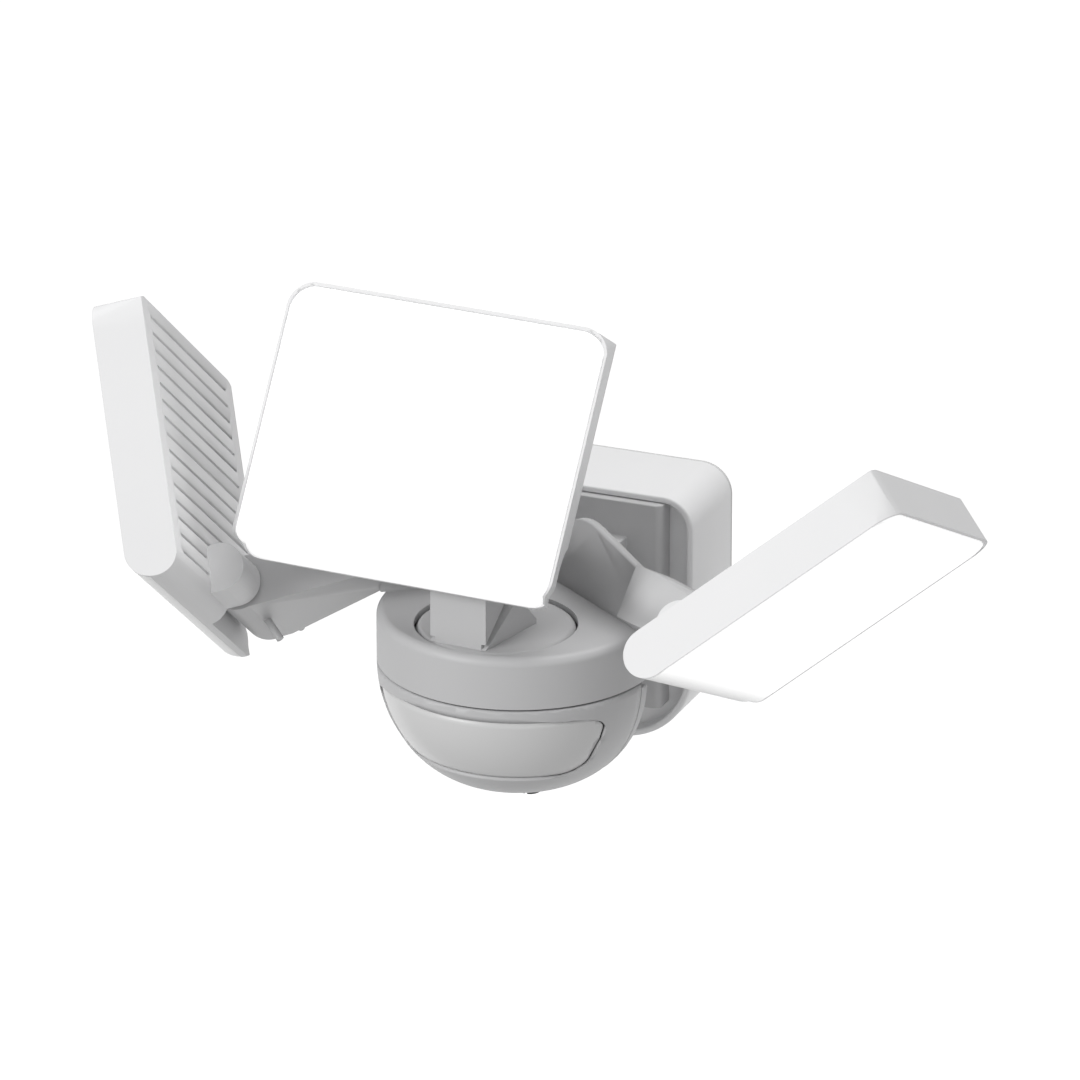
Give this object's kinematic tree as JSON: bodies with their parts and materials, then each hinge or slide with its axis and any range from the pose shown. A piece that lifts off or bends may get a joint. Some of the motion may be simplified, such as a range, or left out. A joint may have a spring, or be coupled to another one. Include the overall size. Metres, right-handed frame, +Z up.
{
  "type": "motion sensor security light",
  "caption": "Wall-mounted security light: a wall box, a round hub with a motion sensor bowl below it and flat rectangular lamp heads on tilt joints.",
  "frame": {"origin": "centre of the back of the wall box, on the wall plane", "axes": "+Y goes into the wall, -Y is the front, +Z is up, +X is to the right seen from the front"},
  "size_m": [0.37, 0.2333, 0.2027],
  "materials": {
    "wall_box": "fine satin moulding",
    "wall_gasket": "closed-cell foam",
    "wall_bracket": "zinc plated",
    "box_screw": "zinc plated",
    "led_driver": "moulded case",
    "driver_screws": "zinc plated",
    "wire_block": "moulded nylon",
    "rear_housing": "fine satin moulding",
    "flange_screws": "zinc plated",
    "hub_cover": "fine satin moulding",
    "wing_left": "fine satin moulding",
    "wing_right": "fine satin moulding",
    "wing_screws": "zinc plated",
    "hub_plate": "fine satin moulding",
    "hub_screws": "zinc plated",
    "turntable": "fine satin moulding",
    "table_clip": "fine satin moulding",
    "clip_screws": "zinc plated",
    "post_rear": "fine satin moulding",
    "post_front": "fine satin moulding",
    "post_screws": "zinc plated",
    "sensor_bowl": "fine satin moulding",
    "sensor_rear": "fine satin moulding",
    "rear_screws": "zinc plated",
    "sensor_window": "milky window",
    "sensor_board": "solder mask",
    "sensor_can": "plated can",
    "light_cell": "clear epoxy",
    "bowl_screws": "zinc plated",
    "dial_board": "solder mask",
    "time_dial": "moulded",
    "light_dial": "moulded",
    "left_shell": "fine satin moulding",
    "left_lens": "opal moulded, fine matt",
    "left_seal": "moulded rubber",
    "left_board": "solder mask",
    "left_chips": "clear silicone over yellow phosphor",
    "left_bolt": "zinc plated",
    "left_washer": "moulded rubber",
    "centre_shell": "fine satin moulding",
    "centre_lens": "opal moulded, fine matt",
    "centre_seal": "moulded rubber",
    "centre_board": "solder mask",
    "centre_chips": "clear silicone over yellow phosphor",
    "centre_bolt": "zinc plated",
    "centre_washer": "moulded rubber",
    "right_shell": "fine satin moulding",
    "right_lens": "opal moulded, fine matt",
    "right_seal": "moulded rubber",
    "right_board": "solder mask",
    "right_chips": "clear silicone over yellow phosphor",
    "right_bolt": "zinc plated",
    "right_washer": "moulded rubber"
  },
  "bodies": {
    "base": {"wall_box": "wall_box", "wall_gasket": "wall_gasket", "wall_bracket": "wall_bracket", "box_screw": "box_screw", "led_driver": "led_driver", "driver_screws": "driver_screws", "wire_block": "wire_block", "rear_housing": "rear_housing", "flange_screws": "flange_screws", "hub_cover": "hub_cover", "wing_left": "wing_left", "wing_right": "wing_right", "wing_screws": "wing_screws", "hub_plate": "hub_plate", "hub_screws": "hub_screws", "sensor_bowl": "sensor_bowl", "sensor_rear": "sensor_rear", "rear_screws": "rear_screws", "sensor_window": "sensor_window", "sensor_board": "sensor_board", "sensor_can": "sensor_can", "light_cell": "light_cell", "bowl_screws": "bowl_screws", "dial_board": "dial_board"},
    "swivel": {"turntable": "turntable", "table_clip": "table_clip", "clip_screws": "clip_screws", "post_rear": "post_rear", "post_front": "post_front", "post_screws": "post_screws"},
    "head_left": {"left_shell": "left_shell", "left_lens": "left_lens", "left_seal": "left_seal", "left_board": "left_board", "left_chips": "left_chips", "left_bolt": "left_bolt", "left_washer": "left_washer"},
    "head_centre": {"centre_shell": "centre_shell", "centre_lens": "centre_lens", "centre_seal": "centre_seal", "centre_board": "centre_board", "centre_chips": "centre_chips", "centre_bolt": "centre_bolt", "centre_washer": "centre_washer"},
    "head_right": {"right_shell": "right_shell", "right_lens": "right_lens", "right_seal": "right_seal", "right_board": "right_board", "right_chips": "right_chips", "right_bolt": "right_bolt", "right_washer": "right_washer"},
    "dial_time": {"time_dial": "time_dial"},
    "dial_light": {"light_dial": "light_dial"}
  },
  "joints": [
    {"name": "centre_swivel", "type": "hinge", "parent": "base", "child": "swivel", "pos_m": [-0.001, -0.1185, 0.018], "axis": [0, 0, 1], "range_deg": [-12, 12]},
    {"name": "centre_tilt", "type": "hinge", "parent": "swivel", "child": "head_centre", "pos_m": [-0.0189, -0.1337, 0.051], "axis": [0.9984, -0.0558, 0], "range_deg": [-25, 6]},
    {"name": "left_tilt", "type": "hinge", "parent": "base", "child": "head_left", "pos_m": [-0.1096, -0.13, 0.0253], "axis": [-0.069, 0.805, -0.5892], "range_deg": [-30, 20]},
    {"name": "right_tilt", "type": "hinge", "parent": "base", "child": "head_right", "pos_m": [0.0989, -0.151, 0.0453], "axis": [-0.0314, 0.9005, -0.4337], "range_deg": [-30, 30]},
    {"name": "time_turn", "type": "hinge", "parent": "base", "child": "dial_time", "pos_m": [-0.011, -0.112, -0.054], "axis": [0, 0, 1], "range_deg": [-135, 135]},
    {"name": "light_turn", "type": "hinge", "parent": "base", "child": "dial_light", "pos_m": [0.011, -0.112, -0.054], "axis": [0, 0, 1], "range_deg": [-135, 135]}
  ]
}
